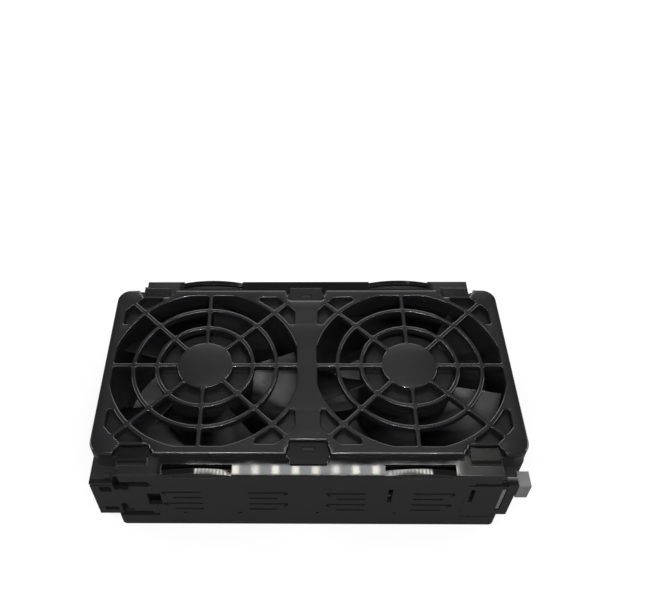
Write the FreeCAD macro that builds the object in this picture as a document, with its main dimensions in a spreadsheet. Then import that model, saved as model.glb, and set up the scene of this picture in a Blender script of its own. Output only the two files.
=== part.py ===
"""Hot-swap server fan module: two 92 mm axial fans side by side in one moulded housing.

Frame: millimetres, +Z up, origin in the middle of the underside.
X runs along the row of fans, the intake grille faces +Z, and the front wall faces -Y.
"""
import FreeCAD, Part
import math
import os
import Sketcher
from FreeCAD import Placement, Rotation, Vector

SIZES = {
    "fan_pitch": 95.0,
    "total_height": 50.5,
    "cover_length": 189.2,
    "cover_width": 93.6,
    "cover_height": 3.2,
    "cover_corner": 6.5,
    "cover_edge_round": 0.9,
    "grille_radius": 44.1,
    "grille_flat": 42.8,
    "rib_width": 1.9,
    "ring_one": 22.3,
    "ring_two": 33.3,
    "hub_disc": 12.9,
    "rib_fillet": 0.8,
    "corner_ring": 46.2,
    "corner_reach": 53.3,
    "corner_flat": 41.8,
    "corner_start": 24.4,
    "hook_place": 75.3,
    "hook_width": 12.6,
    "hook_reach": 42.6,
    "hook_flare": 2.1,
    "mid_hook_width": 16.0,
    "mid_hook_reach": 40.4,
    "mid_hook_flare": 1.2,
    "hook_foot": 50.7,
    "hook_crest": 48.8,
    "hook_base": 47.0,
    "hook_rise": 1.8,
    "hook_thick": 0.9,
    "tab_height": 0.8,
    "recess_gap": 0.4,
    "catch_width": 5.6,
    "catch_depth": 2.2,
    "catch_reach": 42.5,
    "body_width": 110.0,
    "body_length": 173.6,
    "body_corner": 2.5,
    "body_step": 10.6,
    "floor_level": 6.3,
    "shelf_level": 8.3,
    "end_left": 94.6,
    "end_right": 90.0,
    "end_top": 39.5,
    "fan_zone_width": 95.2,
    "fan_zone_bottom": 7.3,
    "ledge_length": 164.8,
    "wall": 2.0,
    "inner_wall": 1.5,
    "well_size": 92.2,
    "well_corner": 5.5,
    "outlet_radius": 44.1,
    "collar_radius": 46.1,
    "centre_rib": 8.0,
    "channel_end": 80.4,
    "bumper_length": 30.0,
    "bumper_window": 3.0,
    "bumper_slot_place": 50.0,
    "bumper_width": 2.5,
    "bumper_low": 44.9,
    "bumper_thick": 1.4,
    "bumper_rise": 2.0,
    "bumper_gap": 1.2,
    "bottom_strip": 1.4,
    "slot_width": 1.3,
    "pin_hole": 0.8,
    "arm_left_root": 68.0,
    "arm_right_root": 69.3,
    "arm_left_low": 10.9,
    "arm_right_low": 9.2,
    "arm_high": 37.2,
    "arm_barrel": 1.0,
    "arm_seat": 1.05,
    "arm_return": 3.0,
    "arm_room": 4.2,
    "arm_opening_low": 8.5,
    "arm_opening_high": 38.2,
    "finger_start": 86.0,
    "finger_top": 38.6,
    "fan_size": 92.0,
    "fan_depth": 38.0,
    "fan_base": 9.3,
    "fan_corner": 6.0,
    "flange": 3.5,
    "duct_outer": 45.9,
    "duct_inner": 44.1,
    "screw_spacing": 82.5,
    "screw_radius": 2.15,
    "strut_width": 3.0,
    "strut_depth": 4.0,
    "strut_bow": 3.2,
    "strut_count": 4,
    "motor_base": 22.6,
    "motor_base_thick": 2.5,
    "motor_post": 1.5,
    "hub_radius": 22.0,
    "hub_round": 2.4,
    "hub_top": 46.0,
    "hub_bottom": 15.0,
    "hub_cavity": 20.0,
    "cavity_top": 42.5,
    "boss_radius": 3.5,
    "boss_bottom": 33.4,
    "blade_tip": 43.5,
    "blade_top": 43.2,
    "blade_bottom": 15.2,
    "blade_thick": 1.6,
    "blade_edge": 0.7,
    "blade_camber": 2.6,
    "blade_root_plane": 19.85,
    "blade_mid_plane": 31.0,
    "blade_tip_plane": 46.0,
    "blade_count": 5,
    "yoke_inner": 19.0,
    "yoke_bottom": 16.5,
    "yoke_roof": 1.0,
    "magnet_inner": 16.6,
    "magnet_bottom": 18.0,
    "magnet_height": 15.0,
    "shaft_radius": 1.5,
    "shaft_bottom": 11.0,
    "shaft_top": 43.5,
    "clip_radius": 2.8,
    "clip_bottom": 11.3,
    "clip_thick": 0.5,
    "tube_outer": 5.2,
    "tube_inner": 4.0,
    "tube_bottom": 10.3,
    "tube_top": 33.0,
    "bearing_bore": 1.55,
    "bearing_width": 4.0,
    "lower_bearing": 12.2,
    "upper_bearing": 28.0,
    "washer_outer": 3.6,
    "washer_inner": 1.9,
    "washer_height": 0.9,
    "core_radius": 15.8,
    "core_bottom": 20.0,
    "core_height": 10.0,
    "tooth_width": 4.0,
    "tooth_count": 6,
    "slot_inner": 7.4,
    "slot_outer": 13.2,
    "slot_mouth": 1.6,
    "coil_start": 7.6,
    "coil_length": 4.7,
    "coil_build": 2.2,
    "coil_plate": 0.8,
    "board_radius": 15.0,
    "board_bottom": 14.2,
    "board_thick": 1.4,
    "gasket_inner": 44.5,
    "gasket_outer": 45.9,
    "gasket_groove": 46.0,
    "gasket_height": 0.6,
    "ring_height": 1.0,
    "plug_inside": 83.5,
    "plug_step": 90.6,
    "plug_face": 95.8,
    "plug_front": 54.9,
    "plug_relief": 51.3,
    "plug_rear": 47.7,
    "plug_bottom": 12.6,
    "plug_top": 38.2,
    "nose_low": 27.3,
    "nose_high": 37.5,
    "nose_wall": 1.2,
    "socket_depth": 4.0,
    "slit_width": 0.6,
    "rib_reach": 3.5,
    "contact_size": 0.7,
    "contact_plate": 0.5,
    "lead_radius": 1.5,
    "lead_line": 50.3,
    "lead_start": 36.1,
    "lead_offset": 30.0,
    "lead_bend": 7.0,
    "lead_left_height": 28.0,
    "lead_right_height": 20.0,
}

# The latch arms, and the sprung J-shaped slots in the long walls: start, hook and height of the long line.
J_SLOTS = ((-47.0, -64.5, 31.9), (-26.3, -8.7, 31.5), (25.6, 8.0, 30.9), (46.4, 64.5, 30.9))
J_ROWS = (0.0, -10.5)
PIN_HOLES = (-55.7, -30.6, 4.6, 39.5)

doc = FreeCAD.newDocument("server_fan_module")
sheet = doc.addObject("Spreadsheet::Sheet", "dims")
for row, (alias, number) in enumerate(SIZES.items(), 1):
    sheet.set(f"A{row}", alias)
    sheet.set(f"B{row}", str(number))
    sheet.setAlias(f"B{row}", alias)
doc.recompute()

parts = []


def size(alias):
    """A driving dimension, read back from the sheet."""
    return float(sheet.get(alias))


def term(word):
    """The number that one term stands for: 3.5, wall, wall/2, 2*wall or one of these with a minus."""
    if word[0] == "-":
        return -term(word[1:])
    if "/" in word:
        top, bottom = word.split("/")
        return term(top) / float(bottom)
    if "*" in word:
        factor, alias = word.split("*")
        return float(factor) * term(alias)
    if word[0].isdigit():
        return float(word)
    return size(word)


def value(text):
    """The number that a sum such as 'total_height - cover_height' stands for."""
    total = 0.0
    sign = 1
    for word in text.split():
        if word in ("+", "-"):
            sign = 1 if word == "+" else -1
        else:
            total += sign * term(word)
    return total


def formula(text):
    """The same sum as an expression on the sheet's cells."""
    words = []
    for word in text.split():
        name = word.lstrip("-").split("/")[0].split("*")[-1]
        words.append(word.replace(name, "dims." + name) if name in SIZES else word)
    return " ".join(words)


def negated(text):
    """The same sum with every sign turned round."""
    words = text.split()
    words[0] = words[0][1:] if words[0][0] == "-" else "-" + words[0]
    swap = {"+": "-", "-": "+"}
    return " ".join(swap.get(word, word) for word in words)


def span(side, low, high):
    """The interval from low to high, or its mirror image for side -1."""
    if side > 0:
        return low, high
    return negated(high), negated(low)


def bind(feature, prop, text):
    """Drives a property of a feature from the sheet."""
    feature.setExpression(prop, formula(text))


def new_body(label):
    body = doc.addObject("PartDesign::Body", label)
    body.Label = label
    parts.append(body)
    return body


def origin_item(body, role):
    for item in body.Origin.OriginFeatures:
        if item.Role == role:
            return item
    raise ValueError(role)


def new_sketch(body, role="XY_Plane", offset="0"):
    """A sketch on one of the body's origin planes, moved along that plane's normal."""
    sketch = body.newObject("Sketcher::SketchObject", body.Label + "_sketch")
    sketch.AttachmentSupport = [(origin_item(body, role), "")]
    sketch.MapMode = "FlatFace"
    sketch.AttachmentOffset = Placement(Vector(0, 0, value(offset)), Rotation())
    if offset != "0":
        bind(sketch, "AttachmentOffset.Base.z", offset)
    return sketch


def hold_point(sketch, geometry, point, x, y):
    """Dimensions a point from the sketch's origin with two sums from the sheet."""
    for kind, text, axis in (("DistanceX", x, -2), ("DistanceY", y, -1)):
        if text == "0":
            sketch.addConstraint(Sketcher.Constraint("PointOnObject", geometry, point, axis))
            continue
        constraint = Sketcher.Constraint(kind, -1, 1, geometry, point, value(text))
        index = sketch.addConstraint(constraint)
        sketch.setExpression(f"Constraints[{index}]", formula(text))


def loop(sketch, points):
    """A closed outline. A point is (x, y), or (x, y, through_x, through_y) to reach it by an arc."""
    edges = []
    for index, point in enumerate(points):
        start = Vector(*points[index - 1][:2], 0)
        end = Vector(*point[:2], 0)
        if len(point) == 4:
            edges.append(Part.Arc(start, Vector(*point[2:], 0), end))
        else:
            edges.append(Part.LineSegment(start, end))
    sketch.addGeometry(edges[1:] + edges[:1])


def rectangle(sketch, x_span, y_span):
    """A rectangle whose four sides are sums from the sheet."""
    left, right = value(x_span[0]), value(x_span[1])
    low, high = value(y_span[0]), value(y_span[1])
    first = sketch.GeometryCount
    loop(sketch, [(left, low), (right, low), (right, high), (left, high)])
    for side in range(4):
        sketch.addConstraint(Sketcher.Constraint("Coincident", first + side, 2, first + (side + 1) % 4, 1))
        direction = "Vertical" if side % 2 else "Horizontal"
        sketch.addConstraint(Sketcher.Constraint(direction, first + side))
    hold_point(sketch, first, 1, x_span[0], y_span[0])
    hold_point(sketch, first + 1, 2, x_span[1], y_span[1])


def circle(sketch, radius, x="0", y="0"):
    """A circle whose radius and centre are sums from the sheet."""
    centre = Vector(value(x), value(y), 0)
    geometry = sketch.addGeometry(Part.Circle(centre, Vector(0, 0, 1), value(radius)))
    index = sketch.addConstraint(Sketcher.Constraint("Radius", geometry, value(radius)))
    sketch.setExpression(f"Constraints[{index}]", formula(radius))
    hold_point(sketch, geometry, 3, x, y)


def rounded_box(sketch, half_length, half_width, radius, x=0.0):
    """A rectangle with round corners, centred at x on the X axis."""
    turn = radius * (1 - math.sqrt(0.5))
    points = []
    for sx, sy in ((1, -1), (1, 1), (-1, 1), (-1, -1)):
        along = (x + sx * (half_length - radius), sy * half_width)
        aside = (x + sx * half_length, sy * (half_width - radius))
        middle = (x + sx * (half_length - turn), sy * (half_width - turn))
        first, last = (along, aside) if sx * sy < 0 else (aside, along)
        points += [first, last + middle]
    loop(sketch, points)


def pad(body, sketch, length, backwards=False):
    feature = body.newObject("PartDesign::Pad", body.Label + "_pad")
    feature.Profile = sketch
    bind(feature, "Length", length)
    feature.Reversed = backwards
    doc.recompute()
    return feature


def pocket(body, sketch, length=None, backwards=False):
    """A pocket against the sketch's normal, or through everything both ways without a length."""
    volume = body.Shape.Volume
    feature = body.newObject("PartDesign::Pocket", body.Label + "_pocket")
    feature.Profile = sketch
    if length is None:
        feature.Type = "ThroughAll"
        feature.Midplane = True
    else:
        bind(feature, "Length", length)
        feature.Reversed = backwards
    doc.recompute()
    if body.Shape.Volume > volume - 1e-3:
        raise RuntimeError(f"{feature.Name} in {body.Label} cuts nothing")
    return feature


def turned(body, kind, sketch):
    """A revolution or a groove of a profile in the XZ plane, about Z."""
    feature = body.newObject("PartDesign::" + kind, body.Label + "_" + kind.lower())
    feature.Profile = sketch
    feature.ReferenceAxis = (origin_item(body, "Z_Axis"), [""])
    feature.Angle = 360
    doc.recompute()
    return feature


def polar(body, feature, count):
    """Repeats a feature round the body's Z axis."""
    pattern = body.newObject("PartDesign::PolarPattern", body.Label + "_pattern")
    pattern.Originals = [feature]
    pattern.Axis = (origin_item(body, "Z_Axis"), [""])
    pattern.Angle = 360
    bind(pattern, "Occurrences", count)
    body.Tip = pattern
    doc.recompute()
    return pattern


def round_edges(body, feature, radius, wanted):
    """Fillets those edges of a feature that the test wants."""
    names = [f"Edge{index}" for index, edge in enumerate(feature.Shape.Edges, 1) if wanted(edge)]
    fillet = body.newObject("PartDesign::Fillet", body.Label + "_fillet")
    fillet.Base = (feature, names)
    bind(fillet, "Radius", radius)
    doc.recompute()
    return fillet


def is_upright(edge):
    ends = [vertex.Point for vertex in edge.Vertexes]
    return len(ends) == 2 and (ends[0] - ends[1]).cross(Vector(0, 0, 1)).Length < 1e-6


def put_on_axis(part, axis, turn=0.0):
    """Moves a sub-part that was drawn about Z to its fan's axis."""
    part.Placement = Placement(Vector(value(axis), 0, part.Placement.Base.z), Rotation(Vector(0, 0, 1), turn))
    bind(part, "Placement.Base.x", axis)


def ring_piece(label, axis, outer, inner, bottom, height):
    """A plain round ring or tube made of two primitives."""
    made = []
    for name, radius in (("outer", outer), ("inner", inner)):
        cylinder = doc.addObject("Part::Cylinder", f"{label}_{name}")
        bind(cylinder, "Radius", radius)
        bind(cylinder, "Height", height)
        made.append(cylinder)
    ring = doc.addObject("Part::Cut", label)
    ring.Base, ring.Tool = made
    ring.Label = label
    ring.Placement.Base = Vector(value(axis), 0, value(bottom))
    bind(ring, "Placement.Base.x", axis)
    bind(ring, "Placement.Base.z", bottom)
    parts.append(ring)


def at_angle(radius, degrees):
    turn = math.radians(degrees)
    return radius * math.cos(turn), radius * math.sin(turn)


def rib_angle(radius):
    """How many degrees half a rib takes up at a radius."""
    return math.degrees(math.asin(size("rib_width") / 2 / radius))


def mirrored(points, x, sx, sy, swap):
    """An outline's points moved to a fan's centre and to one of the eight mirror images there."""
    placed = []
    for point in points:
        numbers = []
        for index in range(0, len(point), 2):
            pair = point[index:index + 2]
            if swap:
                pair = pair[::-1]
            numbers += [x + sx * pair[0], sy * pair[1]]
        placed.append(tuple(numbers))
    return placed


def ring_opening(sketch, x, inner, outer, middle):
    """An opening between two rings and two spokes that are 45 degrees apart."""
    near = 22.5 - rib_angle(inner)
    far = 22.5 - rib_angle(outer)
    corners = [at_angle(inner, middle - near), at_angle(outer, middle - far),
               at_angle(outer, middle + far) + at_angle(outer, middle), at_angle(inner, middle + near)]
    corners[0] += at_angle(inner, middle)
    loop(sketch, mirrored(corners, x, 1, 1, False))


def outer_opening():
    """One of the eight openings in the outer band, cut off straight at the side of the plate."""
    half_rib = size("rib_width") / 2
    inner = size("ring_two") + half_rib
    outer = size("grille_radius")
    flat = size("grille_flat")
    bend = math.degrees(math.acos(flat / outer))
    foot = rib_angle(inner)
    low = 45 - foot
    high = 45 - rib_angle(outer)
    return [at_angle(inner, foot) + at_angle(inner, (foot + low) / 2), (flat, half_rib), at_angle(outer, bend),
            at_angle(outer, high) + at_angle(outer, (high + bend) / 2), at_angle(inner, low)]


def corner_opening():
    """One of the two small openings outside the last ring in a corner."""
    inner, outer = size("corner_ring"), size("corner_reach")
    flat, start = size("corner_flat"), size("corner_start")
    near = 45 - rib_angle(inner)
    far = 45 - rib_angle(outer)
    first = math.degrees(math.asin(start / inner))
    bend = math.degrees(math.acos(flat / outer))
    return [at_angle(inner, first) + at_angle(inner, (first + near) / 2), (flat, start), at_angle(outer, bend),
            at_angle(outer, far) + at_angle(outer, (far + bend) / 2), at_angle(inner, near)]


def hook_recess(sketch, place, width, reach, flare, side):
    """A recess in the cover's edge that widens in two S curves towards the rim."""
    edge = size("cover_width") / 2
    floor = reach - size("recess_gap")
    half = width / 2 + size("recess_gap")
    middle = (edge + floor) / 2
    outline = [(half - 1, floor), (half, floor + 1, half - 0.3, floor + 0.3),
               (half + flare / 2, middle, half + flare * 0.12, middle - 0.7),
               (half + flare, edge, half + flare * 0.88, edge - 1), (half + flare, edge + 1)]
    points = [(place + point[0], side * point[1]) + tuple(
        number * factor + shift for number, factor, shift in zip(point[2:], (1, side), (place, 0)))
        for point in outline]
    back = []
    for index in range(len(outline) - 1, -1, -1):
        point = (place - outline[index][0], side * outline[index][1])
        if index + 1 < len(outline) and len(outline[index + 1]) == 4:
            point += (place - outline[index + 1][2], side * outline[index + 1][3])
        back.append(point)
    loop(sketch, points + back)


def hook_places():
    """Place, width, reach and flare of the three hooks along one long side."""
    outer = (size("hook_width"), size("hook_reach"), size("hook_flare"))
    middle = (size("mid_hook_width"), size("mid_hook_reach"), size("mid_hook_flare"))
    return [(-size("hook_place"),) + outer, (0.0,) + middle, (size("hook_place"),) + outer]


def grille_openings(sketch):
    """The openings of both round grilles."""
    half_rib = size("rib_width") / 2
    for x in (-size("fan_pitch") / 2, size("fan_pitch") / 2):
        for step in range(8):
            ring_opening(sketch, x, size("hub_disc"), size("ring_one") - half_rib, 22.5 + 45 * step)
            ring_opening(sketch, x, size("ring_one") + half_rib, size("ring_two") - half_rib, 22.5 + 45 * step)
        for sx, sy in ((-1, -1), (-1, 1), (1, -1), (1, 1)):
            for swap in (False, True):
                loop(sketch, mirrored(outer_opening(), x, sx, sy, swap))
                loop(sketch, mirrored(corner_opening(), x, sx, sy, swap))


def make_cover():
    body = new_body("grille_cover")
    sketch = new_sketch(body, offset="total_height - cover_height")
    rounded_box(sketch, size("cover_length") / 2, size("cover_width") / 2, size("cover_corner"))
    grille_openings(sketch)
    plate = pad(body, sketch, "cover_height")
    top = size("total_height") - 1e-6
    rim_x = size("cover_length") / 2 - 1
    rim_y = size("cover_width") / 2 - 1
    reach_x = size("fan_pitch") / 2 + size("corner_flat") + 1.5
    reach_y = size("corner_flat") + 1.5

    def on_rim(edge):
        box = edge.BoundBox
        return box.ZMin > top and (max(box.XMax, -box.XMin) > rim_x or max(box.YMax, -box.YMin) > rim_y)

    def in_opening(edge):
        centre = edge.CenterOfMass
        return is_upright(edge) and abs(centre.x) < reach_x and abs(centre.y) < reach_y

    rim = round_edges(body, plate, "cover_edge_round", on_rim)
    round_edges(body, rim, "rib_fillet", in_opening)
    sketch = new_sketch(body, offset="total_height")
    for side in (-1, 1):
        for place, width, reach, flare in hook_places():
            hook_recess(sketch, place, width, reach, flare, side)
    pocket(body, sketch, "cover_height - tab_height")
    sketch = new_sketch(body, offset="total_height - cover_height")
    for x in ("-fan_pitch/2", "fan_pitch/2"):
        circle(sketch, "gasket_groove", x)
        circle(sketch, "duct_inner", x)
    pocket(body, sketch, "gasket_height", backwards=True)
    sketch = new_sketch(body, offset="total_height - cover_height + tab_height")
    for side in (-1, 1):
        rectangle(sketch, ("-catch_width/2 + 0.3", "catch_width/2 - 0.3"),
                  span(side, "catch_reach + 0.3", "catch_reach + catch_depth - 0.3"))
    pad(body, sketch, "hook_thick")


def both_sides(sketch, x_span, low, high):
    """The same strip at the front and at the rear."""
    for side in (-1, 1):
        rectangle(sketch, x_span, span(side, low, high))


def housing_blocks(body):
    """Base, end blocks, fan zone and the two side channels with the ledge on top."""
    sketch = new_sketch(body)
    rounded_box(sketch, size("body_length") / 2, size("body_width") / 2, size("body_corner"))
    pad(body, sketch, "body_step")
    sketch = new_sketch(body, offset="body_step")
    rectangle(sketch, ("-end_left", "end_right"), ("-body_width/2", "body_width/2"))
    pad(body, sketch, "end_top - body_step")
    sketch = new_sketch(body, offset="fan_zone_bottom")
    rounded_box(sketch, size("end_left"), size("fan_zone_width") / 2, size("cover_corner"))
    pad(body, sketch, "end_top - fan_zone_bottom")
    sketch = new_sketch(body, offset="end_top")
    rounded_box(sketch, size("cover_length") / 2, size("cover_width") / 2, size("cover_corner"))
    pad(body, sketch, "total_height - cover_height - end_top")
    sketch = new_sketch(body, offset="end_top")
    rectangle(sketch, ("-ledge_length/2", "ledge_length/2"), ("-body_width/2", "body_width/2"))
    pad(body, sketch, "total_height - cover_height - end_top")


def bumper_arch(sketch, x):
    """A strip that is bowed upwards, with both ends in the walls of its window."""
    half = size("bumper_length") / 2 + 0.6
    low, rise = size("bumper_low"), size("bumper_rise")
    top = low + size("bumper_thick")
    loop(sketch, [(x - half, low), (x + half, low, x, low + rise), (x + half, top), (x - half, top, x, top + rise)])


def housing_bumpers(body):
    """Four windows in the ledges, each with a sprung strip along the edge."""
    sketch = new_sketch(body, offset="total_height - cover_height")
    for x in ("-fan_pitch/2", "fan_pitch/2"):
        both_sides(sketch, (x + " - bumper_length/2", x + " + bumper_length/2"),
                   "bumper_slot_place", "body_width/2 + 1")
    pocket(body, sketch, "bumper_window")
    for side in (-1, 1):
        sketch = wall_sketch(body, side)
        for x in (-size("fan_pitch") / 2, size("fan_pitch") / 2):
            bumper_arch(sketch, x)
        pad(body, sketch, "bumper_width", backwards=side < 0)


def housing_hollows(body):
    """Fan wells, side channels, the hollow underside and the round outlets in the floor."""
    half = size("fan_pitch") / 2
    sketch = new_sketch(body, offset="total_height")
    for x in (-half, half):
        rounded_box(sketch, size("well_size") / 2, size("well_size") / 2, size("well_corner"), x)
    pocket(body, sketch, "total_height - shelf_level")
    inner, outer = "well_size/2 + inner_wall", "body_width/2 - wall"
    sketch = new_sketch(body, offset="total_height - cover_height - wall")
    both_sides(sketch, ("-channel_end", "channel_end"), inner, outer)
    pocket(body, sketch, "total_height - cover_height - wall - shelf_level")
    sketch = new_sketch(body, offset="arm_opening_high")
    both_sides(sketch, ("-end_left + wall", "end_right - wall"), inner, outer)
    pocket(body, sketch, "arm_opening_high - body_step - wall")
    sketch = new_sketch(body)
    edge = size("body_width") / 2 - size("wall")
    rounded_box(sketch, size("body_length") / 2 - size("wall"), edge, size("body_corner") - 1.5)
    pocket(body, sketch, "floor_level", backwards=True)
    sketch = new_sketch(body)
    for x in ("-fan_pitch/2", "fan_pitch/2"):
        circle(sketch, "collar_radius", x)
    pad(body, sketch, "shelf_level")
    sketch = new_sketch(body)
    rectangle(sketch, ("-centre_rib/2", "centre_rib/2"), ("-body_width/2 + wall", "body_width/2 - wall"))
    pad(body, sketch, "shelf_level")
    sketch = new_sketch(body)
    for x in ("-fan_pitch/2", "fan_pitch/2"):
        circle(sketch, "outlet_radius", x)
    pocket(body, sketch, "shelf_level + 1", backwards=True)


def housing_hooks(body):
    """The six hooks that hold the cover; the middle ones have a window for the cover's catch."""
    ledge = size("total_height") - size("cover_height")
    top = ledge + size("hook_rise")
    under = top - size("hook_thick")
    for place, width, reach, flare in hook_places():
        sketch = new_sketch(body, "YZ_Plane", str(place - width / 2) if place else "-mid_hook_width/2")
        for side in (-1, 1):
            loop(sketch, [(side * size("hook_foot"), ledge - 0.2), (side * size("hook_foot"), ledge),
                          (side * size("hook_crest"), top), (side * reach, top), (side * reach, under),
                          (side * size("hook_base"), under), (side * size("hook_base"), ledge - 0.2)])
        pad(body, sketch, "hook_width" if place else "mid_hook_width")
    sketch = new_sketch(body, offset="total_height")
    both_sides(sketch, ("-catch_width/2", "catch_width/2"), "catch_reach", "catch_reach + catch_depth")
    pocket(body, sketch, "cover_height - tab_height")


def wall_sketch(body, side):
    """A sketch on the front (-1) or rear (+1) wall."""
    return new_sketch(body, "XZ_Plane", "body_width/2" if side < 0 else "-body_width/2")


def j_slot(sketch, start, hook, height):
    """A long slot that bends back at its end like a hook, and a shorter slot below it."""
    width = size("slot_width")
    way = 1 if hook > start else -1
    loop(sketch, [(start, height), (hook - way * 1.5, height),
                  (hook - way * 0.5, height - 2.1, hook - way * 0.1, height - 0.8),
                  (hook - way * 1.7, height - 3.1), (hook - way * 2.3, height - 2.5),
                  (hook - way * 1.3, height - 1.5), (hook - way * 1.8, height - width, hook - way * 1.2, height - 1.1),
                  (start, height - width)])
    low = height - 5.1
    short = hook - way * 4.8
    loop(sketch, [(start, low), (short, low), (short, low - width), (start, low - width)])


def housing_walls(body):
    """Openings in the long walls: sprung J slots, bumper gaps, pin holes, arm openings and end holes."""
    for side in (-1, 1):
        back = side > 0
        sketch = wall_sketch(body, side)
        for start, hook, height in J_SLOTS:
            for row_shift in J_ROWS:
                j_slot(sketch, start, hook, height + row_shift)
        for x in PIN_HOLES:
            circle(sketch, "pin_hole", str(x), "body_step + 1")
        for x in ("-fan_pitch/2", "fan_pitch/2"):
            rectangle(sketch, (x + " - bumper_length/2", x + " + bumper_length/2"),
                      ("bottom_strip", "bottom_strip + bumper_gap"))
        rectangle(sketch, ("35.0", "37.0"), ("22.6", "34.6"))
        rectangle(sketch, ("-68.5", "-65.0"), ("19.7", "30.0"))
        pocket(body, sketch, "wall + 0.2", backwards=back)
        sketch = wall_sketch(body, side)
        rectangle(sketch, ("-end_left - 1", "-arm_left_root"), ("arm_opening_low", "arm_opening_high"))
        rectangle(sketch, ("arm_right_root", "end_right + 1"), ("arm_opening_low", "arm_opening_high"))
        pocket(body, sketch, "arm_room", backwards=back)
        sketch = wall_sketch(body, side)
        rectangle(sketch, ("-end_left - 1", "-end_left + wall + 0.6"), ("arm_opening_low", "arm_opening_high"))
        pocket(body, sketch, "arm_room + arm_return + 0.1", backwards=back)
        sketch = new_sketch(body, offset="arm_opening_high")
        middle = "-body_width/2 + wall/2" if side < 0 else "body_width/2 - wall/2"
        circle(sketch, "arm_seat", "-arm_left_root", middle)
        circle(sketch, "arm_seat", "arm_right_root", middle)
        pocket(body, sketch, "arm_opening_high - arm_opening_low")
        sketch = wall_sketch(body, side)
        rectangle(sketch, ("finger_start - 0.5", "end_right + 1"), ("arm_opening_high - 1", "end_top + 1"))
        pocket(body, sketch, "arm_room", backwards=back)
        sketch = wall_sketch(body, side)
        loop(sketch, [(-82.0, 36.4), (-70.3, 36.4), (-70.3, 40.6, -68.2, 38.5), (-82.0, 40.6)])
        loop(sketch, [(72.5, 37.0, 71.2, 38.35), (86.0, 37.0), (86.0, 39.7), (72.5, 39.7)])
        loop(sketch, [(73.1, 7.4, 72.1, 8.4), (86.5, 7.4), (86.5, 9.4), (73.1, 9.4)])
        pocket(body, sketch, "wall + 0.2", backwards=back)
    sketch = new_sketch(body, offset="total_height - cover_height")
    both_sides(sketch, ("-84.5", "-81.1"), "51.5", "body_width/2 + 1")
    pocket(body, sketch, "total_height - cover_height - arm_opening_high + 0.2")


def housing_plug_room(body):
    """Room for the plug in the right front end, the cable gaps in the inner wall and the corner bosses."""
    sketch = new_sketch(body, offset="plug_top")
    rectangle(sketch, ("end_right - wall - 0.5", "end_right + 1"), ("-plug_relief - 0.2", "-plug_rear"))
    pocket(body, sketch, "plug_top - plug_bottom")
    sketch = new_sketch(body, "XZ_Plane", "plug_rear + 1")
    for x in ("-fan_pitch/2 - lead_offset", "fan_pitch/2 - lead_offset"):
        rectangle(sketch, (x + " - 2.5", x + " + 8"), ("lead_right_height - 3", "lead_left_height + 3"))
    pocket(body, sketch, "inner_wall + 1.5")
    sketch = new_sketch(body, offset="end_top")
    for x, y in (("-87", "-52"), ("-87", "52")):
        circle(sketch, "1.6", x, y)
    pad(body, sketch, "1.0")


def make_housing():
    body = new_body("housing")
    housing_blocks(body)
    housing_hollows(body)
    housing_bumpers(body)
    housing_hooks(body)
    housing_walls(body)
    housing_plug_room(body)


def make_arm(label, end, side):
    """A latch arm: a plate in the long wall that swings inwards about a barrel at its root."""
    name = "left" if end < 0 else "right"
    root, tip, low = f"arm_{name}_root", f"end_{name}", f"arm_{name}_low"
    height = "arm_high - " + low
    body = new_body(label)
    sketch = new_sketch(body, offset=low)
    rectangle(sketch, span(end, root, tip), span(side, "body_width/2 - wall", "body_width/2"))
    pad(body, sketch, height)
    sketch = new_sketch(body, offset=low)
    circle(sketch, "arm_barrel", span(end, root, root)[0], span(side, "body_width/2 - wall/2", "0")[side < 0])
    pad(body, sketch, height)
    if end < 0:
        arm_left_details(body, side)
    else:
        arm_right_details(body, side)


def arm_left_details(body, side):
    back = side > 0
    sketch = new_sketch(body, offset="arm_left_low")
    rectangle(sketch, ("-end_left", "-end_left + wall"),
              span(side, "body_width/2 - wall - arm_return", "body_width/2 - wall"))
    pad(body, sketch, "arm_high - arm_left_low")
    sketch = wall_sketch(body, side)
    rectangle(sketch, ("-90.8", "-85.8"), ("31.6", "36.1"))
    rectangle(sketch, ("-91.5", "-85.3"), ("14.0", "17.4"))
    rectangle(sketch, ("-70.9", "-65.0"), ("19.7", "30.0"))
    loop(sketch, [(-83.8, 9.9), (-71.5, 9.9), (-71.5, 13.2, -70.0, 11.55), (-78.3, 13.2),
                  (-81.0, 16.5, -79.2, 15.9), (-81.0, 19.5), (-83.8, 19.5, -82.4, 20.9)])
    loop(sketch, [(-84.5, 38.2), (-84.5, 35.0), (-81.9, 34.6, -83.2, 33.3), (-78.0, 34.8, -79.6, 33.3),
                  (-78.0, 36.2), (-69.2, 36.2), (-69.2, 38.2)])
    pocket(body, sketch, "wall + 0.2", backwards=back)


def arm_right_details(body, side):
    back = side > 0
    sketch = new_sketch(body, offset="arm_right_low")
    rectangle(sketch, ("finger_start", "end_right"), span(side, "body_width/2 - wall", "body_width/2"))
    pad(body, sketch, "finger_top - arm_right_low")
    sketch = wall_sketch(body, side)
    rectangle(sketch, ("70.8", "72.6"), ("22.7", "34.2"))
    rectangle(sketch, ("84.0", "86.2"), ("15.2", "34.6"))
    rectangle(sketch, ("85.6", "end_right + 1"), ("arm_right_low - 1", "body_step + 0.3"))
    pocket(body, sketch, "wall + 0.2", backwards=back)


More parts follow.
